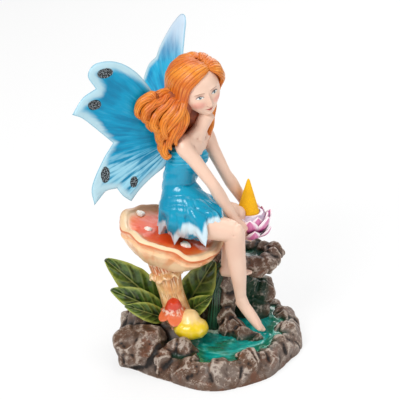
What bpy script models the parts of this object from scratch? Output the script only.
"""Backflow incense burner: a winged figure seated on a toadstool above a rock pool.

The casting is one solid: rock base, pool, ledge with its basin, waterfall, toadstools, leaves, figure and the
lotus dish in the figure's hands. Two wings are cast apart and glued into slots in the back, and the incense
cone stands loose in the lotus, over the hole that lets its smoke fall into the basin.
Units are metres, +Z is up, the origin is the middle of the flat underside, and -Y is the front.
"""

import math

import bmesh
import bpy
from mathutils import Matrix, Vector, noise

# Rock base and pool
WATER_LEVEL = 0.0110
GROUND_CUT = 0.0040
RIM_STONE = 0.0095
RIM_TOP = 0.0155
RIM_STONES = 17
RIM_SIDES = 72

# How far the base reaches from its middle, every 30 degrees from +X round by +Y
BASE_REACH = (
    0.0545,
    0.0570,
    0.0575,
    0.0585,
    0.0585,
    0.0580,
    0.0565,
    0.0545,
    0.0525,
    0.0578,
    0.0540,
    0.0505,
)

# Low wall round the pool, from the water outwards and down: share of the base's reach, and height
RIM_PROFILE = (
    (0.77, WATER_LEVEL),
    (0.80, 0.0124),
    (0.845, 0.0136),
    (0.90, 0.0120),
    (0.945, 0.0088),
    (0.985, 0.0042),
    (1.0, -0.0005),
    (1.0, -GROUND_CUT),
)
ROCK_ROUGHNESS = 0.26
ROCK_CHIPS = 5
ROCK_CHIP_DEPTH = 0.80

# Rocks of the mound under the toadstools: centre and half sizes of each
MOUND_ROCKS = (
    ((-0.0405, -0.0240, 0.0110), (0.0160, 0.0155, 0.0170)),
    ((-0.0180, -0.0310, 0.0090), (0.0125, 0.0100, 0.0110)),
    ((-0.0365, -0.0020, 0.0120), (0.0145, 0.0160, 0.0200)),
    ((-0.0350, 0.0190, 0.0130), (0.0160, 0.0160, 0.0190)),
    ((-0.0210, -0.0090, 0.0100), (0.0170, 0.0155, 0.0150)),
    ((-0.0200, 0.0150, 0.0120), (0.0180, 0.0200, 0.0180)),
    ((-0.0060, 0.0120, 0.0130), (0.0095, 0.0110, 0.0160)),
    ((-0.0060, 0.0400, 0.0080), (0.0160, 0.0120, 0.0120)),
)

# Ledge with the upper basin, and the waterfall that leaves it
BASIN_X = 0.0200
BASIN_Y = 0.0190
BASIN_REACH_X = 0.0165
BASIN_REACH_Y = 0.0150
BASIN_STONE = 0.0055
BASIN_WATER = 0.0480
BASIN_FLOOR = 0.0070
BASIN_STONES = 13
SPILL_DEG = 215.0
SPILL_HALF_DEG = 20.0
UNDER_BASIN_DEG = (-60.0, -25.0, 10.0, 45.0)
FALL_HALF_WIDTH = 0.0042
FALL_HALF_DEPTH = 0.0026

# Rocks that carry the basin and the stepping stones below it: centre and half sizes of each
COLUMN_ROCKS = (
    ((0.0230, 0.0230, 0.0120), (0.0160, 0.0155, 0.0175)),
    ((0.0280, 0.0240, 0.0230), (0.0115, 0.0110, 0.0105)),
    ((0.0170, 0.0200, 0.0320), (0.0125, 0.0125, 0.0155)),
    ((0.0020, 0.0120, 0.0260), (0.0080, 0.0080, 0.0200)),
    ((0.0095, 0.0030, 0.0380), (0.0058, 0.0058, 0.0080)),
    ((0.0095, 0.0010, 0.0280), (0.0064, 0.0065, 0.0080)),
    ((0.0090, -0.0020, 0.0190), (0.0066, 0.0068, 0.0084)),
    ((0.0120, -0.0060, 0.0130), (0.0082, 0.0076, 0.0098)),
    ((0.0180, -0.0120, 0.0110), (0.0072, 0.0066, 0.0078)),
    ((0.0245, -0.0140, 0.0085), (0.0064, 0.0058, 0.0074)),
)

# Large toadstool
CAP_CENTRE = (-0.0230, -0.0050, 0.0725)
CAP_RADIUS = 0.0300
CAP_DEPTH = 0.0185
CAP_LIP = 0.0034
CAP_ROLL_DEG = 17.0
CAP_PITCH_DEG = 2.0
STEM_FOOT = (-0.0160, -0.0100, 0.0140)
STEM_RADIUS = 0.0075
STEM_RING = 0.0115
STEM_RING_DROP = 0.0085

# Small toadstools in front of the stem
RED_CAP_TOP = (-0.0215, -0.0205, 0.0385)
RED_CAP_RADIUS = 0.0072
RED_CAP_HEIGHT = 0.0120
RED_CAP_LEAN_DEG = 18.0
YELLOW_CAP = (-0.0118, -0.0215, 0.0225)
YELLOW_CAP_RADIUS = 0.0100

# Leaves: root, tip and width of each
LEAF_THICKNESS = 0.0030
LEAVES = (
    ((-0.0250, 0.0040, 0.0180), (-0.0600, -0.0040, 0.0560), 0.0190),
    ((-0.0250, -0.0030, 0.0200), (-0.0565, -0.0130, 0.0415), 0.0150),
    ((-0.0240, -0.0080, 0.0200), (-0.0480, -0.0200, 0.0345), 0.0110),
    ((-0.0170, 0.0060, 0.0180), (0.0012, 0.0020, 0.0520), 0.0200),
    ((-0.0160, 0.0000, 0.0190), (-0.0005, -0.0080, 0.0345), 0.0110),
)

# Figure, as offsets from the point on the cap where it sits
SEAT_RISE = 0.0130
FACING_DEG = -32.0
HIPS = (0.0028, 0.0000, 0.0000)
HIP_HALF_WIDTH = 0.0072
HIP_RADIUS = 0.0094
THIGH_RADIUS = 0.0088
KNEE_RADIUS = 0.0062
CALF_RADIUS = 0.0056
ANKLE_RADIUS = 0.0034
FOOT_RADIUS = 0.0036
NEAR_KNEE = (0.0330, -0.0150, -0.0050)
NEAR_ANKLE = (0.0372, -0.0095, -0.0480)
NEAR_TOE = (0.0500, -0.0130, -0.0680)
FAR_KNEE = (0.0345, 0.0070, -0.0035)
FAR_ANKLE = (0.0290, 0.0030, -0.0340)
FAR_TOE = (0.0415, -0.0010, -0.0370)
WAIST = (0.0025, 0.0020, 0.0190)
CHEST = (0.0065, 0.0030, 0.0320)
COLLAR = (0.0110, 0.0040, 0.0430)
NECK_TOP = (0.0170, 0.0030, 0.0555)
SKULL = (0.0123, 0.0040, 0.0737)
WAIST_RADII = (0.0090, 0.0078)
CHEST_RADII = (0.0108, 0.0090)
COLLAR_RADII = (0.0115, 0.0062)
NECK_RADIUS = 0.0043
SKULL_RADIUS = 0.0146
FACE_DIRECTION = (0.46, -0.88, -0.10)
HAIR_THICKNESS = 0.0014
SHOULDER_HALF_WIDTH = 0.0112
SHOULDER_RADIUS = 0.0050
ARM_RADIUS = 0.0037
WRIST_RADIUS = 0.0027
NEAR_ELBOW = (0.0210, -0.0130, 0.0225)
FAR_ELBOW = (0.0285, 0.0140, 0.0185)

# Palms beside the lotus, in its sizes: how far aside and ahead of its middle each lies, and how high
PALM_NEAR = (1.15, 0.35)
PALM_FAR = (0.95, -0.35)
PALM_HEIGHT = 0.60

# Dress
DRESS_THICKNESS = 0.0014
SKIRT_SHARE = 0.55
HEM_POINTS = 10
HEM_DEPTH = 0.0042
HEM_FLARE = 0.08

# Levels of the skirt, waist to hem: height over the seat, lift in front, sink at the sides, and the reach
# back, ahead and aside
SKIRT_RINGS = (
    (0.0150, 0.0000, 0.0000, 0.0080, 0.0096, 0.0086),
    (0.0105, 0.0010, 0.0000, 0.0094, 0.0150, 0.0112),
    (0.0060, 0.0020, 0.0000, 0.0102, 0.0208, 0.0142),
    (0.0015, 0.0038, 0.0018, 0.0112, 0.0250, 0.0168),
    (-0.0040, 0.0030, 0.0048, 0.0124, 0.0272, 0.0184),
)

# Locks of hair: a route of offsets from the middle of the head and a width at each, both in head sizes
HAIR_LOCKS = (
    (
        (
            (-0.50, 0.00, -0.10),
            (-1.06, -0.52, -0.30),
            (-1.50, -0.76, -0.42),
            (-1.78, -0.84, -0.62),
            (-1.72, -0.86, -0.88),
        ),
        (0.52, 0.30, 0.22, 0.18, 0.09),
    ),
    (
        (
            (-0.50, -0.20, -0.15),
            (-0.74, -0.56, -0.70),
            (-0.88, -0.66, -1.20),
            (-0.98, -0.70, -1.65),
            (-1.04, -0.71, -2.05),
        ),
        (0.56, 0.36, 0.32, 0.27, 0.12),
    ),
    (
        (
            (-0.60, -0.10, -0.20),
            (-0.92, -0.30, -0.85),
            (-1.02, -0.40, -1.40),
            (-1.04, -0.50, -1.90),
            (-0.96, -0.54, -2.25),
        ),
        (0.58, 0.42, 0.34, 0.27, 0.12),
    ),
    (
        (
            (-0.40, 0.40, -0.20),
            (-0.68, 0.24, -0.95),
            (-0.76, 0.20, -1.60),
            (-0.70, 0.14, -2.15),
            (-0.52, 0.12, -2.50),
        ),
        (0.66, 0.50, 0.42, 0.32, 0.15),
    ),
    (
        (
            (-0.10, 0.45, -0.20),
            (-0.10, 0.56, -0.95),
            (-0.10, 0.54, -1.55),
            (-0.05, 0.46, -2.10),
            (0.04, 0.42, -2.35),
        ),
        (0.66, 0.50, 0.42, 0.32, 0.15),
    ),
    (
        (
            (0.28, 0.42, -0.10),
            (0.40, 0.50, -0.85),
            (0.38, 0.44, -1.40),
            (0.36, 0.34, -1.85),
            (0.35, 0.28, -2.10),
        ),
        (0.42, 0.26, 0.22, 0.18, 0.10),
    ),
    (
        ((0.30, -0.40, 0.66), (0.64, -0.12, 0.42), (0.76, 0.06, 0.14), (0.62, 0.32, -0.20)),
        (0.22, 0.22, 0.16, 0.14),
    ),
    (
        ((0.05, -0.70, 0.60), (-0.42, -0.88, 0.20), (-0.68, -0.74, -0.22), (-0.70, -0.62, -0.60)),
        (0.22, 0.25, 0.24, 0.20),
    ),
)

# Lotus dish, as an offset from the seat point, and the smoke hole through it
LOTUS_BASE = (0.0415, 0.0130, -0.0210)
LOTUS_HEIGHT = 0.0170
LOTUS_FOOT_RADIUS = 0.0045
LOTUS_RADIUS = 0.0105
PETALS = 9
PETAL_LENGTH = 0.0120
PETAL_WIDTH = 0.0085
PETAL_THICKNESS = 0.0020
SMOKE_HOLE_RADIUS = 0.0019
SEAT_RECESS = 0.0012

# Incense cone
CONE_RADIUS = 0.0064
CONE_HEIGHT = 0.0205
CONE_TIP_RADIUS = 0.0004
CONE_BORE_RADIUS = 0.0018
CONE_BORE_DEPTH = 0.0130

# Wings: edge points of one wing, across and up from its root, with the points of its lobes marked sharp
WING_THICKNESS = 0.0020
WING_CUP = 0.0070
WING_SPAN = 0.0585
FAR_WING_SCALE = 1.18
FAR_WING_TURN_DEG = 6.0
TAB_LENGTH = 0.0060
TAB_HEIGHT = 0.0090
TAB_DROP = 0.0015
NEAR_WING_TOP = (
    (0.0067, 0.0220, False),
    (0.0188, 0.0389, False),
    (0.0312, 0.0473, False),
    (0.0436, 0.0483, False),
    (0.0484, 0.0425, False),
    (0.0440, 0.0345, True),
    (0.0520, 0.0305, False),
    (0.0583, 0.0225, True),
    (0.0520, 0.0190, False),
    (0.0430, 0.0105, False),
    (0.0345, 0.0020, True),
)
FAR_WING_TOP = (
    (0.0067, 0.0220, False),
    (0.0180, 0.0315, False),
    (0.0256, 0.0402, False),
    (0.0307, 0.0466, False),
    (0.0352, 0.0486, False),
    (0.0398, 0.0470, False),
    (0.0437, 0.0400, False),
    (0.0457, 0.0300, False),
    (0.0453, 0.0235, True),
    (0.0494, 0.0179, False),
    (0.0475, 0.0091, False),
    (0.0420, 0.0045, False),
    (0.0345, 0.0020, True),
)
WING_BOTTOM = (
    (0.0410, -0.0070, False),
    (0.0478, -0.0210, False),
    (0.0467, -0.0320, True),
    (0.0400, -0.0255, False),
    (0.0328, -0.0248, True),
    (0.0290, -0.0302, False),
    (0.0243, -0.0341, True),
    (0.0190, -0.0280, False),
    (0.0118, -0.0220, False),
    (0.0049, -0.0175, False),
)
NEAR_WING_ROOT = (-0.0020, 0.0020, 0.0445)
NEAR_WING_OUT = (-0.93, -0.36, 0.0)
NEAR_WING_UP = (0.0, 0.0, 1.0)
FAR_WING_ROOT = (-0.0045, 0.0105, 0.0500)
FAR_WING_OUT = (-0.28, 0.94, -0.20)
FAR_WING_UP = (0.36, 0.30, 0.88)

# Fits and the fineness of the sculpted surface
GAP = 0.0003
SURFACE_GRAIN = 0.0010
CASTING_TRIANGLES = 9400

UP = Vector((0.0, 0.0, 1.0))


def clear_scene():
    """Removes every object, so that the script can be run again."""
    for item in list(bpy.data.objects):
        bpy.data.objects.remove(item, do_unlink=True)


def make_material(name, colour, roughness, metallic=0.0):
    """A plain Principled material."""
    material = bpy.data.materials.new(name)
    material.use_nodes = True
    shader = material.node_tree.nodes["Principled BSDF"]
    shader.inputs["Base Color"].default_value = (*colour, 1.0)
    shader.inputs["Roughness"].default_value = roughness
    shader.inputs["Metallic"].default_value = metallic
    return material


def make_object(name, bm, material):
    """Turns a bmesh into a smooth-shaded object in the scene."""
    bmesh.ops.recalc_face_normals(bm, faces=bm.faces)
    mesh = bpy.data.meshes.new(name)
    bm.to_mesh(mesh)
    bm.free()
    mesh.materials.append(material)
    mesh.shade_smooth()
    item = bpy.data.objects.new(name, mesh)
    bpy.context.scene.collection.objects.link(item)
    return item


def smooth_path(points, steps=4):
    """Points along a smooth curve through the given ones."""
    chain = [Vector(point) for point in points]
    ends = [2 * chain[0] - chain[1]] + chain + [2 * chain[-1] - chain[-2]]
    path = []
    for before, start, end, after in zip(ends, ends[1:], ends[2:], ends[3:]):
        for step in range(steps):
            t = step / steps
            path.append(
                0.5
                * (
                    2 * start
                    + t * (end - before)
                    + t * t * (2 * before - 5 * start + 4 * end - after)
                    + t * t * t * (3 * start - before - 3 * end + after)
                )
            )
    path.append(chain[-1])
    return path


def smooth_values(values, steps=4):
    """Numbers that follow smooth_path, one for each of its points."""
    path = smooth_path([(value, 0.0, 0.0) for value in values], steps)
    return [point.x for point in path]


def close_rings(bm, rings):
    """Joins rings of vertices into a closed tube with a pole at each end."""
    count = len(rings[0])
    for lower, upper in zip(rings, rings[1:]):
        for k in range(count):
            after = (k + 1) % count
            bm.faces.new((lower[k], lower[after], upper[after], upper[k]))
    for ring, inner in ((rings[0], rings[1]), (rings[-1], rings[-2])):
        middle = sum((v.co for v in ring), Vector()) / count
        previous = sum((v.co for v in inner), Vector()) / count
        size = (ring[0].co - middle).length
        pole = bm.verts.new(middle + (middle - previous).normalized() * size * 0.6)
        for k in range(count):
            bm.faces.new((ring[k], ring[(k + 1) % count], pole))


def add_tube(bm, points, sizes, side=UP, sides=12):
    """A rounded limb along the points; a size is a radius, or a pair across `side` and along it."""
    pairs = [size if isinstance(size, tuple) else (size, size) for size in sizes]
    path = smooth_path(points)
    across = smooth_values([pair[0] for pair in pairs])
    along = smooth_values([pair[1] for pair in pairs])
    rings = []
    for i, centre in enumerate(path):
        run = path[min(i + 1, len(path) - 1)] - path[max(i - 1, 0)]
        first = run.cross(Vector(side))
        if first.length < 1e-3 * run.length:
            first = run.cross(Vector((1.0, 0.0, 0.0)))
        first.normalize()
        second = first.cross(run).normalized()
        ring = []
        for k in range(sides):
            angle = 2 * math.pi * k / sides
            offset = first * across[i] * math.cos(angle) + second * along[i] * math.sin(angle)
            ring.append(bm.verts.new(centre + offset))
        rings.append(ring)
    close_rings(bm, rings)


def add_ball(bm, centre, radii, turn=None, detail=3):
    """An ellipsoid."""
    place = Matrix.Translation(Vector(centre)) @ (turn or Matrix.Identity(4))
    bmesh.ops.create_icosphere(
        bm, subdivisions=detail, radius=1.0, matrix=place @ Matrix.Diagonal((*radii, 1.0))
    )


def add_rock(bm, centre, radii, seed, roughness=ROCK_ROUGHNESS):
    """A craggy stone: a ball pushed in and out by noise and flattened by a few chips."""
    made = bmesh.ops.create_icosphere(bm, subdivisions=3, radius=1.0)
    shift = Vector((seed * 7.3, seed * 3.1, seed * 5.7))
    noise.seed_set(seed + 1)
    chips = [noise.random_unit_vector() for _ in range(ROCK_CHIPS)]
    for vertex in made["verts"]:
        place = vertex.co * 1.4 + shift
        swell = 1.0 + roughness * (noise.noise(place) - abs(noise.noise(place * 2.3)))
        point = vertex.co * swell
        for chip in chips:
            over = point.dot(chip) - ROCK_CHIP_DEPTH
            if over > 0.0:
                point -= chip * over
        vertex.co = Vector(centre) + Vector(a * b for a, b in zip(point, radii))


def add_lathe(bm, profile, place, sides, wave=None):
    """A profile of (radius, height) turned about its own axis, from pole to pole."""
    rings = []
    for radius, height in profile[1:-1]:
        ring = []
        for k in range(sides):
            angle = 2 * math.pi * k / sides
            stretch, lift = wave(angle, radius) if wave else (1.0, 0.0)
            reach = radius * stretch
            point = Vector((reach * math.cos(angle), reach * math.sin(angle), height + lift))
            ring.append(bm.verts.new(place @ point))
        rings.append(ring)
    for lower, upper in zip(rings, rings[1:]):
        for k in range(sides):
            after = (k + 1) % sides
            bm.faces.new((lower[k], lower[after], upper[after], upper[k]))
    for ring, (_, height) in ((rings[0], profile[0]), (rings[-1], profile[-1])):
        pole = bm.verts.new(place @ Vector((0.0, 0.0, height)))
        for k in range(sides):
            bm.faces.new((ring[k], ring[(k + 1) % sides], pole))


def add_blade(bm, root, tip, width, thickness, face, bow=0.0, blunt=0.35):
    """A leaf, petal or hem point: a pointed lens-shaped blade whose flat side looks along `face`."""
    root, tip = Vector(root), Vector(tip)
    run = tip - root
    across = run.cross(Vector(face)).normalized()
    out = across.cross(run).normalized()
    stations = 9
    rings = []
    for i in range(stations):
        t = i / (stations - 1)
        spread = max(math.sin(math.pi * min(t * 0.93 + 0.035, 1.0)) ** 0.8, 0.0)
        spread = max(spread, blunt * (1.0 - t))
        centre = root + run * t + out * bow * math.sin(math.pi * t)
        half_width = 0.5 * width * max(spread, 0.12)
        half_thickness = 0.5 * thickness * (1.0 - 0.35 * t)
        ring = []
        for k in range(8):
            angle = 2 * math.pi * k / 8
            ring.append(
                bm.verts.new(
                    centre + across * half_width * math.cos(angle) + out * half_thickness * math.sin(angle)
                )
            )
        rings.append(ring)
    close_rings(bm, rings)


def seat_point():
    """The point on the cap where the figure sits."""
    return Vector(CAP_CENTRE) + Vector((0.0025, 0.0, SEAT_RISE))


def from_seat(offset):
    """A point of the figure, given as an offset from the seat."""
    return seat_point() + Vector(offset)


def facing():
    """The way the figure's chest looks, and the way to its far shoulder."""
    angle = math.radians(FACING_DEG)
    return Vector((math.cos(angle), math.sin(angle), 0.0)), Vector((-math.sin(angle), math.cos(angle), 0.0))


def lotus_base():
    """The middle of the lotus dish's underside."""
    return from_seat(LOTUS_BASE)


def cone_floor():
    """The height of the flat seat that the incense cone stands on."""
    return lotus_base().z + LOTUS_HEIGHT - SEAT_RECESS


def base_reach(angle):
    """How far the base reaches from its middle at an angle."""
    count = len(BASE_REACH)
    place = (angle / (2 * math.pi) * count) % count
    before = int(place) % count
    share = 0.5 - 0.5 * math.cos(math.pi * (place - int(place)))
    return BASE_REACH[before] * (1.0 - share) + BASE_REACH[(before + 1) % count] * share


def add_rock_base(bm):
    """The wall of rock with its ring of stones, the floor of the pool and the mound under the toadstools."""
    profile = [(0.0, -GROUND_CUT)] + list(reversed(RIM_PROFILE)) + [(0.0, WATER_LEVEL)]
    add_lathe(bm, profile, Matrix.Identity(4), RIM_SIDES, lambda angle, radius: (base_reach(angle), 0.0))
    for k in range(RIM_STONES):
        angle = 2 * math.pi * (k + 0.35 * noise.noise(Vector((k * 3.9, 8.2, 0.0)))) / RIM_STONES
        size = RIM_STONE * (1.05 + 0.30 * noise.noise(Vector((k * 1.7, 0.3, 0.0))))
        top = RIM_TOP * (1.05 + 0.30 * noise.noise(Vector((k * 2.3, 4.1, 0.0))))
        reach = base_reach(angle) - size
        middle = Vector((reach * math.cos(angle), reach * math.sin(angle), (top - GROUND_CUT) / 2))
        add_rock(bm, middle, (size, size * 1.15, (top + GROUND_CUT) / 2), seed=k)
    for k, (centre, radii) in enumerate(MOUND_ROCKS):
        add_rock(bm, centre, radii, seed=40 + k)


def add_ledge(bm):
    """The rock column, the basin on it with its ring of stones, and the stones below."""
    for k, (centre, radii) in enumerate(COLUMN_ROCKS):
        add_rock(bm, centre, radii, seed=60 + k)
    middle = Vector((BASIN_X, BASIN_Y, BASIN_WATER))
    wide, deep = BASIN_REACH_X, BASIN_REACH_Y
    low = -BASIN_FLOOR
    profile = [(0.0, low), (0.6 * wide, low), (wide, 0.5 * low), (wide, 0.0), (0.0, 0.0)]
    add_lathe(bm, profile, Matrix.Translation(middle) @ Matrix.Diagonal((1.0, deep / wide, 1.0, 1.0)), 28)
    spill = math.radians(SPILL_DEG)
    for k in range(BASIN_STONES):
        angle = 2 * math.pi * (k + 0.5) / BASIN_STONES
        from_spill = abs((angle - spill + math.pi) % (2 * math.pi) - math.pi)
        if from_spill < math.radians(SPILL_HALF_DEG):
            continue
        rise = BASIN_STONE * (0.05 + 0.35 * noise.noise(Vector((k * 1.3, 7.7, 0.0))))
        size = BASIN_STONE * (1.10 + 0.30 * noise.noise(Vector((k * 2.9, 1.7, 0.0))))
        centre = middle + Vector((wide * math.cos(angle), deep * math.sin(angle), rise))
        add_rock(bm, centre, (1.15 * size, 1.10 * size, size), seed=80 + k)
    for k, angle_deg in enumerate(UNDER_BASIN_DEG):
        angle = math.radians(angle_deg)
        centre = middle + Vector((0.8 * wide * math.cos(angle), 0.8 * deep * math.sin(angle), 0.5 * low))
        add_rock(bm, centre, (BASIN_STONE * 1.2, BASIN_STONE * 1.1, BASIN_FLOOR * 0.8), seed=100 + k)


def add_waterfall(bm):
    """The strip of water from the basin's spill down to the pool."""
    half_way = 0.5 * (BASIN_WATER + WATER_LEVEL)
    steps = (
        (-0.60, -0.50, BASIN_WATER - 0.6 * FALL_HALF_DEPTH),
        (-0.88, -0.95, BASIN_WATER - FALL_HALF_DEPTH),
        (-1.05, -1.20, 0.7 * BASIN_WATER + 0.3 * WATER_LEVEL),
        (-1.08, -1.30, half_way),
        (-1.10, -1.38, WATER_LEVEL),
    )
    route = [(BASIN_X + x * BASIN_REACH_X, BASIN_Y + y * BASIN_REACH_Y, z) for x, y, z in steps]
    sizes = [(FALL_HALF_WIDTH * share, FALL_HALF_DEPTH) for share in (1.0, 1.0, 0.85, 0.80, 1.30)]
    add_tube(bm, route, sizes, side=(0.0, 1.0, 0.2))


def cap_frame():
    """The cap's centre and tilt, as a matrix whose Z is the cap's axis."""
    roll = Matrix.Rotation(math.radians(CAP_ROLL_DEG), 4, "Y")
    pitch = Matrix.Rotation(math.radians(CAP_PITCH_DEG), 4, "X")
    return Matrix.Translation(Vector(CAP_CENTRE)) @ roll @ pitch


def cap_wave(angle, radius):
    """The cap's wavy rim: how far it stretches and lifts at an angle."""
    share = (radius / CAP_RADIUS) ** 3
    stretch = 1.0 + 0.035 * share * math.sin(2 * angle + 0.6) + 0.02 * share * math.sin(5 * angle)
    lift = CAP_LIP * share * (0.45 * math.sin(3 * angle + 1.1) + 0.25 * math.sin(7 * angle))
    return stretch, lift


def add_toadstool(bm):
    """The large toadstool: cap with a rolled rim, stem and its torn ring."""
    r, deep, lip = CAP_RADIUS, CAP_DEPTH, CAP_LIP
    profile = [
        (0.0, -deep),
        (0.30 * r, -0.97 * deep),
        (0.55 * r, -0.80 * deep),
        (0.78 * r, -0.52 * deep),
        (0.92 * r, -0.25 * deep),
        (0.98 * r, -0.05 * deep),
        (1.00 * r, 0.30 * lip),
        (0.97 * r, 0.85 * lip),
        (0.91 * r, 1.00 * lip),
        (0.83 * r, 0.75 * lip),
        (0.65 * r, 0.55 * lip),
        (0.30 * r, 0.75 * lip),
        (0.0, 0.85 * lip),
    ]
    frame = cap_frame()
    add_lathe(bm, profile, frame, 40, cap_wave)
    foot = Vector(STEM_FOOT)
    top = frame @ Vector((0.0, 0.0, -0.85 * deep))
    middle = foot.lerp(top, 0.5) - Vector((0.10 * STEM_RADIUS, 0.0, 0.0))
    widths = [STEM_RADIUS * share for share in (1.25, 1.02, 0.95, 1.05, 1.25)]
    route = [foot, foot.lerp(middle, 0.5), middle, middle.lerp(top, 0.5), top]
    add_tube(bm, route, widths, side=(0.0, 1.0, 0.0), sides=16)
    axis = (top - foot).normalized()
    place = Matrix.Translation(top.lerp(foot, 0.06)) @ UP.rotation_difference(axis).to_matrix().to_4x4()
    drop = STEM_RING_DROP
    ring = [
        (0.0, 0.0),
        (0.85 * STEM_RADIUS, 0.0),
        (STEM_RING, -0.80 * drop),
        (0.97 * STEM_RING, -drop),
        (0.85 * STEM_RADIUS, -0.90 * drop),
        (0.0, -0.90 * drop),
    ]
    add_lathe(bm, ring, place, 24)


def add_small_toadstools(bm):
    """The red-topped bell and the yellow bulb that grow from the stem's foot."""
    top = Vector(RED_CAP_TOP)
    lean = Matrix.Rotation(math.radians(RED_CAP_LEAN_DEG), 4, "X")
    r, tall = RED_CAP_RADIUS, RED_CAP_HEIGHT
    profile = [
        (0.0, 0.0),
        (0.40 * r, -0.06 * tall),
        (0.66 * r, -0.30 * tall),
        (0.84 * r, -0.62 * tall),
        (r, -0.86 * tall),
        (0.88 * r, -tall),
        (0.0, -1.02 * tall),
    ]
    add_lathe(bm, profile, Matrix.Translation(top) @ lean, 20)
    root = Vector(STEM_FOOT)
    bend = top + Vector((0.2 * tall, 0.4 * tall, -1.2 * tall))
    add_tube(bm, [top - UP * 0.6 * tall, bend, root], [0.55 * r, 0.55 * r, 0.6 * r], side=(0.0, 1.0, 0.0))
    cap = Vector(YELLOW_CAP)
    size = YELLOW_CAP_RADIUS
    add_ball(bm, cap, (1.02 * size, 0.80 * size, 0.66 * size))
    neck = cap + Vector((-0.15 * size, 0.35 * size, 0.60 * size))
    join = root.lerp(cap_frame().translation, 0.22)
    add_tube(bm, [cap, neck, join], [0.80 * size, 0.74 * size, 0.60 * size], side=(0.0, 1.0, 0.0))


def add_leaves(bm):
    """The leaves on both sides of the stem."""
    for root, tip, width in LEAVES:
        add_blade(bm, root, tip, width, LEAF_THICKNESS, face=(0.1, -0.80, 0.55), bow=0.12 * width, blunt=0.4)


def add_leg(bm, hip, knee, ankle, toe):
    """A thigh, shin and foot."""
    add_tube(bm, [hip, hip.lerp(knee, 0.5), knee], [THIGH_RADIUS, 0.90 * THIGH_RADIUS, KNEE_RADIUS], sides=14)
    calf = knee.lerp(ankle, 0.35) + Vector((0.0, 0.12 * CALF_RADIUS, 0.0))
    shin = [knee, calf, knee.lerp(ankle, 0.72), ankle]
    taper = [KNEE_RADIUS, CALF_RADIUS, 0.78 * CALF_RADIUS, ANKLE_RADIUS]
    add_tube(bm, shin, taper, side=(0.0, 1.0, 0.0), sides=14)
    heel = ankle + ((ankle - knee).normalized() + 0.5 * (ankle - toe).normalized()) * ANKLE_RADIUS
    sole = FOOT_RADIUS
    widths = [sole, 1.02 * sole, (1.10 * sole, 0.75 * sole), (0.85 * sole, 0.55 * sole)]
    add_tube(bm, [heel, heel.lerp(toe, 0.45), heel.lerp(toe, 0.80), toe], widths, side=(0.35, 0.0, 1.0))
    add_tube(bm, [ankle, heel.lerp(toe, 0.25)], [ANKLE_RADIUS, 0.9 * sole], side=(0.0, 1.0, 0.0))


def add_hand(bm, wrist, palm, hold):
    """A palm with four fingers that curl under the lotus."""
    thin = WRIST_RADIUS
    add_tube(bm, [wrist, palm], [thin, (1.45 * thin, 1.05 * thin)], side=(0.0, 1.0, 0.0))
    reach = hold - palm
    for k in range(4):
        spread = UP * (k - 1.5) * 0.62 * thin
        middle = palm + 0.55 * reach + 1.2 * spread - UP * 0.4 * thin
        end = palm + 0.95 * reach + 1.1 * spread - UP * 1.2 * thin
        add_tube(bm, [palm + spread, middle, end], [0.52 * thin, 0.48 * thin, 0.38 * thin], sides=8)


def add_head(bm):
    """Skull, chin and nose, turned the way the face looks."""
    skull, size = from_seat(SKULL), SKULL_RADIUS
    face = Vector(FACE_DIRECTION).normalized()
    turn = Vector((0.0, -1.0, 0.0)).rotation_difference(face).to_matrix().to_4x4()
    add_ball(bm, skull, (0.86 * size, 0.95 * size, size), turn)
    chin = skull + turn @ Vector((0.0, -0.42 * size, -0.62 * size))
    add_ball(bm, chin, (0.58 * size, 0.50 * size, 0.48 * size), turn)
    nose = skull + turn @ Vector((0.0, -0.95 * size, -0.22 * size))
    add_ball(bm, nose, (0.10 * size, 0.13 * size, 0.16 * size), turn, detail=2)


def add_arm(bm, side, elbow_offset):
    """An arm from the collar to the hand under the lotus; side is -1 for the near arm, 1 for the far."""
    ahead, far = facing()
    collar, elbow = from_seat(COLLAR), from_seat(elbow_offset)
    out = far * side
    root = collar + out * 0.4 * SHOULDER_HALF_WIDTH
    shoulder = collar + out * SHOULDER_HALF_WIDTH - UP * 0.2 * SHOULDER_RADIUS
    upper = [SHOULDER_RADIUS, SHOULDER_RADIUS, ARM_RADIUS, 0.88 * ARM_RADIUS]
    add_tube(bm, [root, shoulder, shoulder.lerp(elbow, 0.5), elbow], upper, side=ahead)
    aside, forward = PALM_NEAR if side < 0.0 else PALM_FAR
    palm = lotus_base() + UP * PALM_HEIGHT * LOTUS_HEIGHT + (out * aside + ahead * forward) * LOTUS_RADIUS
    wrist = palm.lerp(elbow, 0.25) + out * 0.10 * LOTUS_RADIUS
    lower = [0.88 * ARM_RADIUS, 0.90 * ARM_RADIUS, WRIST_RADIUS]
    add_tube(bm, [elbow, elbow.lerp(wrist, 0.4), wrist], lower, side=ahead)
    add_hand(bm, wrist, palm, lotus_base() + UP * 0.30 * LOTUS_HEIGHT + ahead * 0.3 * LOTUS_RADIUS)


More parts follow.
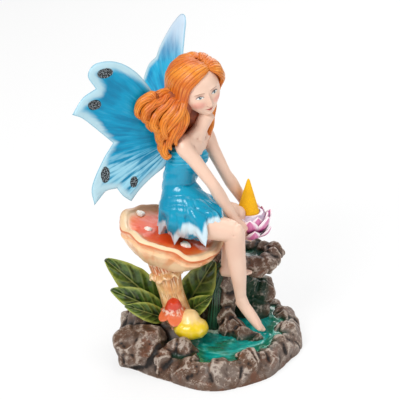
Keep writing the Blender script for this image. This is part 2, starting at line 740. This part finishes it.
def add_figure(bm):
    """Hips, torso, neck, head, legs and arms."""
    ahead, far = facing()
    hips = from_seat(HIPS)
    waist, chest, collar, neck = from_seat(WAIST), from_seat(CHEST), from_seat(COLLAR), from_seat(NECK_TOP)
    add_ball(bm, hips, (1.10 * HIP_RADIUS, 1.10 * HIP_RADIUS, HIP_RADIUS))
    torso = [(1.15 * HIP_RADIUS, HIP_RADIUS), WAIST_RADII, CHEST_RADII, COLLAR_RADII]
    add_tube(bm, [hips, waist, chest, collar], torso, side=ahead, sides=18)
    throat = [1.3 * NECK_RADIUS, NECK_RADIUS, NECK_RADIUS]
    add_tube(bm, [collar, collar.lerp(neck, 0.6), neck], throat, side=ahead)
    add_head(bm)
    reach = far * HIP_HALF_WIDTH
    add_leg(bm, hips - reach, from_seat(NEAR_KNEE), from_seat(NEAR_ANKLE), from_seat(NEAR_TOE))
    add_leg(bm, hips + reach, from_seat(FAR_KNEE), from_seat(FAR_ANKLE), from_seat(FAR_TOE))
    add_arm(bm, -1.0, NEAR_ELBOW)
    add_arm(bm, 1.0, FAR_ELBOW)


def add_skirt(bm):
    """The skirt, draped from the waist over both thighs, with its torn hem on the cap."""
    ahead, far = facing()
    hips = from_seat(HIPS)
    count = 4 * HEM_POINTS
    rings = []
    for level, (rise, lift, sink, back, front, half_width) in enumerate(SKIRT_RINGS):
        ring = []
        for k in range(count):
            angle = 2 * math.pi * k / count
            forward = math.cos(angle)
            tooth = math.cos(HEM_POINTS * angle) if level == len(SKIRT_RINGS) - 1 else 0.0
            reach = (front if forward > 0.0 else back) * forward * (1.0 + HEM_FLARE * tooth)
            aside = half_width * math.sin(angle) * (1.0 + HEM_FLARE * tooth)
            height = rise + lift * max(forward, 0.0) - sink * abs(math.sin(angle)) - HEM_DEPTH * tooth
            ring.append(bm.verts.new(hips + ahead * reach + far * aside + UP * height))
        rings.append(ring)
    for upper, lower in zip(rings, rings[1:]):
        for k in range(count):
            after = (k + 1) % count
            bm.faces.new((upper[k], upper[after], lower[after], lower[k]))
    for ring, height in ((rings[0], SKIRT_RINGS[0][0]), (rings[-1], -HIP_RADIUS)):
        pole = bm.verts.new(hips + UP * height)
        for k in range(count):
            bm.faces.new((ring[k], ring[(k + 1) % count], pole))


def add_dress(bm):
    """The strapless top, the dress over the thighs and the skirt."""
    ahead, far = facing()
    hips = from_seat(HIPS)
    waist, chest, collar = from_seat(WAIST), from_seat(CHEST), from_seat(COLLAR)
    more = Vector((DRESS_THICKNESS, DRESS_THICKNESS))
    body = ((1.1 * HIP_RADIUS, HIP_RADIUS), WAIST_RADII, CHEST_RADII, (CHEST_RADII[0], 0.85 * CHEST_RADII[1]))
    wrap = [tuple(Vector(radii) + more) for radii in body]
    add_tube(bm, [hips, waist, chest, chest.lerp(collar, 0.35)], wrap, side=ahead, sides=18)
    thigh = THIGH_RADIUS + DRESS_THICKNESS
    for side, knee in ((-1.0, NEAR_KNEE), (1.0, FAR_KNEE)):
        hip = hips + far * side * HIP_HALF_WIDTH
        end = hip.lerp(from_seat(knee), SKIRT_SHARE)
        add_tube(bm, [hip, hip.lerp(end, 0.5), end], [thigh, thigh, 0.90 * thigh], sides=14)
    add_skirt(bm)


def add_hair(bm):
    """The cap of hair on the skull and its long locks."""
    skull = from_seat(SKULL)
    face = Vector(FACE_DIRECTION).normalized()
    back = Vector((-face.x, -face.y, 0.0)).normalized()
    size = SKULL_RADIUS + HAIR_THICKNESS
    crown = skull + back * 0.16 * size + UP * 0.10 * size
    add_ball(bm, crown, (1.05 * size, 1.05 * size, 1.05 * size))
    for points, widths in HAIR_LOCKS:
        route = [skull + size * Vector(point) for point in points]
        add_tube(bm, route, [size * width for width in widths], side=(0.3, 1.0, 0.1), sides=10)
    nape = from_seat(COLLAR).lerp(skull, 0.45) + back * 0.35 * size
    add_ball(bm, nape, (0.56 * size, 0.50 * size, 0.75 * size))


def add_lotus(bm):
    """The dish and its petals."""
    base, tall, foot, wide = lotus_base(), LOTUS_HEIGHT, LOTUS_FOOT_RADIUS, LOTUS_RADIUS
    profile = [
        (0.0, 0.0),
        (foot, 0.0),
        (0.75 * wide, 0.28 * tall),
        (0.98 * wide, 0.62 * tall),
        (0.95 * wide, 0.85 * tall),
        (0.84 * wide, tall),
        (0.0, tall),
    ]
    add_lathe(bm, profile, Matrix.Translation(base), 28)
    for k in range(PETALS):
        angle = 2 * math.pi * (k + 0.3) / PETALS
        out = Vector((math.cos(angle), math.sin(angle), 0.0))
        root = base + out * 0.78 * wide + UP * 0.35 * tall
        tip = root + (out * 0.42 + UP * 0.90).normalized() * PETAL_LENGTH
        add_blade(bm, root, tip, PETAL_WIDTH, PETAL_THICKNESS, face=out, bow=0.08 * PETAL_LENGTH, blunt=0.8)


def keep_largest_shell(mesh):
    """Deletes every closed shell but the largest, such as a small bubble left inside."""
    bm = bmesh.new()
    bm.from_mesh(mesh)
    bm.verts.ensure_lookup_table()
    unseen = set(bm.verts)
    shells = []
    while unseen:
        start = unseen.pop()
        shell, edge = {start}, [start]
        while edge:
            vertex = edge.pop()
            for link in vertex.link_edges:
                other = link.other_vert(vertex)
                if other in unseen:
                    unseen.remove(other)
                    shell.add(other)
                    edge.append(other)
        shells.append(shell)
    largest = max(shells, key=len)
    spare = [vertex for shell in shells if shell is not largest for vertex in shell]
    bmesh.ops.delete(bm, geom=spare, context="VERTS")
    bm.to_mesh(mesh)
    bm.free()


def apply_modifiers(item):
    """Replaces the object's mesh by its mesh with all modifiers applied."""
    graph = bpy.context.evaluated_depsgraph_get()
    mesh = bpy.data.meshes.new_from_object(item.evaluated_get(graph))
    item.modifiers.clear()
    item.data = mesh


def cut_flat(item, height):
    """Cuts the object off at a height and closes it with a flat face."""
    bm = bmesh.new()
    bm.from_mesh(item.data)
    everything = bm.verts[:] + bm.edges[:] + bm.faces[:]
    bmesh.ops.bisect_plane(bm, geom=everything, plane_co=(0.0, 0.0, height), plane_no=UP, clear_inner=True)
    rim = [edge for edge in bm.edges if edge.is_boundary]
    bmesh.ops.holes_fill(bm, edges=rim, sides=0)
    for vertex in bm.verts:
        if abs(vertex.co.z - height) < 1e-6:
            vertex.co.z = height
    bmesh.ops.recalc_face_normals(bm, faces=bm.faces)
    bm.to_mesh(item.data)
    bm.free()


def wing_frame(root, out, up, turn_deg):
    """The wing's own frame: X outwards, Y up and Z through its thickness."""
    across = Vector(out).normalized()
    normal = across.cross(Vector(up)).normalized()
    rise = normal.cross(across)
    turn = Matrix.Rotation(math.radians(turn_deg), 4, "Z")
    frame = Matrix((across, rise, normal)).transposed().to_4x4()
    return Matrix.Translation(from_seat(root)) @ frame @ turn


def wing_outline(edge_keys, scale, grow):
    """The wing's edge as (across, up) pairs, smooth between its sharp points, with the tab at its root."""
    keys = [(Vector((x, y, 0.0)) * scale, sharp) for x, y, sharp in edge_keys]
    runs, run = [], []
    for point, sharp in keys:
        run.append(point)
        if sharp:
            runs.append(run)
            run = [point]
    runs.append(run)
    edge = []
    for run in runs:
        edge += smooth_path(run, 3)[:-1] if len(run) > 1 else []
    edge.append(keys[-1][0])
    low = -TAB_DROP - TAB_HEIGHT
    tab_points = (
        (0.0, low),
        (-TAB_LENGTH, low),
        (-TAB_LENGTH, low + 0.5 * TAB_HEIGHT),
        (-TAB_LENGTH, -TAB_DROP),
        (0.0, 0.7 * TAB_DROP),
        (0.25 * TAB_LENGTH, 0.5 * TAB_HEIGHT),
    )
    edge += [Vector((x, y, 0.0)) for x, y in tab_points]
    if not grow:
        return edge
    middle = wing_middle(scale)
    return [point + (point - middle).normalized() * grow for point in edge]


def wing_middle(scale):
    """The point inside the wing that its surface fans out from."""
    return Vector((0.0120, 0.0030, 0.0)) * scale


def add_wing(bm, frame, scale, edge_keys, grow=0.0):
    """A thin cupped sheet with the wing's outline, thicker and wider by `grow` where it cuts its slot."""
    outline = wing_outline(edge_keys, scale, grow)
    middle = wing_middle(scale)
    half = WING_THICKNESS / 2 + grow
    shares = (0.30, 0.55, 0.78, 1.0)

    def cupped(point, level):
        bend = WING_CUP * (max(point.x, 0.0) / WING_SPAN) ** 2
        return frame @ Vector((point.x, point.y, level - bend))

    faces = []
    for level in (half, -half):
        rings = []
        for share in shares:
            rings.append([bm.verts.new(cupped(middle.lerp(point, share), level)) for point in outline])
        pole = bm.verts.new(cupped(middle, level))
        faces.append((pole, rings))
    count = len(outline)
    for pole, rings in faces:
        for k in range(count):
            after = (k + 1) % count
            bm.faces.new((pole, rings[0][k], rings[0][after]))
            for inner, outer in zip(rings, rings[1:]):
                bm.faces.new((inner[k], outer[k], outer[after], inner[after]))
    front, back = faces[0][1][-1], faces[1][1][-1]
    for k in range(count):
        after = (k + 1) % count
        bm.faces.new((front[k], back[k], back[after], front[after]))


def wing_frames():
    """Name, frame, scale and edge points of each wing."""
    near = wing_frame(NEAR_WING_ROOT, NEAR_WING_OUT, NEAR_WING_UP, 0.0)
    far = wing_frame(FAR_WING_ROOT, FAR_WING_OUT, FAR_WING_UP, FAR_WING_TURN_DEG)
    return (
        ("wing_near", near, 1.0, NEAR_WING_TOP + WING_BOTTOM),
        ("wing_far", far, FAR_WING_SCALE, FAR_WING_TOP + WING_BOTTOM),
    )


def add_plug(bm, radius, low, high):
    """An upright cylinder on the lotus's axis."""
    base = lotus_base()
    profile = [(0.0, low), (radius, low), (radius, high), (0.0, high)]
    add_lathe(bm, profile, Matrix.Translation((base.x, base.y, 0.0)), 32)


def cut_with(item, name, bm, material):
    """Takes a closed shape out of the object."""
    cutter = make_object(name, bm, material)
    cutter.hide_render = True
    cutter.display_type = "WIRE"
    cut = item.modifiers.new(name, "BOOLEAN")
    cut.operation = "DIFFERENCE"
    cut.solver = "EXACT"
    cut.object = cutter
    apply_modifiers(item)
    bpy.data.objects.remove(cutter, do_unlink=True)


def make_casting():
    """The one-piece casting, with its slots, smoke hole and flat underside."""
    resin = make_material("painted_resin", (0.42, 0.36, 0.32), 0.45)
    bm = bmesh.new()
    add_rock_base(bm)
    add_ledge(bm)
    add_waterfall(bm)
    add_toadstool(bm)
    add_small_toadstools(bm)
    add_leaves(bm)
    add_figure(bm)
    add_dress(bm)
    add_hair(bm)
    add_lotus(bm)
    casting = make_object("casting", bm, resin)
    remesh = casting.modifiers.new("one_skin", "REMESH")
    remesh.mode = "VOXEL"
    remesh.voxel_size = SURFACE_GRAIN
    apply_modifiers(casting)
    keep_largest_shell(casting.data)
    triangles = 2 * len(casting.data.polygons)
    thin = casting.modifiers.new("fewer_faces", "DECIMATE")
    thin.ratio = min(1.0, CASTING_TRIANGLES / triangles)
    thin.use_collapse_triangulate = True
    apply_modifiers(casting)
    cut_flat(casting, 0.0)
    for name, frame, scale, edge_keys in wing_frames():
        bm = bmesh.new()
        add_wing(bm, frame, scale, edge_keys, GAP)
        cut_with(casting, name + "_slot", bm, resin)
    top = lotus_base().z + LOTUS_HEIGHT
    bm = bmesh.new()
    add_plug(bm, CONE_RADIUS + 2 * GAP, cone_floor(), top + CONE_HEIGHT)
    cut_with(casting, "cone_seat", bm, resin)
    bm = bmesh.new()
    add_plug(bm, SMOKE_HOLE_RADIUS, lotus_base().z - LOTUS_HEIGHT * 0.5, top + CONE_HEIGHT)
    cut_with(casting, "smoke_hole", bm, resin)
    keep_largest_shell(casting.data)
    return casting


def make_wings():
    """The two wings, each glued by its tab."""
    resin = make_material("wing_resin", (0.16, 0.62, 0.78), 0.25)
    for name, frame, scale, edge_keys in wing_frames():
        bm = bmesh.new()
        add_wing(bm, frame, scale, edge_keys)
        make_object(name, bm, resin)


def make_cone():
    """The backflow cone, bored from below so that its smoke sinks."""
    incense = make_material("incense", (0.86, 0.58, 0.03), 0.8)
    bottom = cone_floor() + GAP
    base = lotus_base()
    profile = [
        (0.0, CONE_BORE_DEPTH),
        (CONE_BORE_RADIUS, CONE_BORE_DEPTH),
        (CONE_BORE_RADIUS, 0.0),
        (CONE_RADIUS, 0.0),
        (CONE_RADIUS * 0.995, 0.05 * CONE_HEIGHT),
        (CONE_TIP_RADIUS * 2, 0.97 * CONE_HEIGHT),
        (CONE_TIP_RADIUS, CONE_HEIGHT),
        (0.0, CONE_HEIGHT),
    ]
    bm = bmesh.new()
    add_lathe(bm, profile, Matrix.Translation((base.x, base.y, bottom)), 32)
    cone = make_object("incense_cone", bm, incense)
    cone.data.set_sharp_from_angle(angle=math.radians(40.0))


def main():
    """Builds the burner."""
    clear_scene()
    make_casting()
    make_wings()
    make_cone()


main()
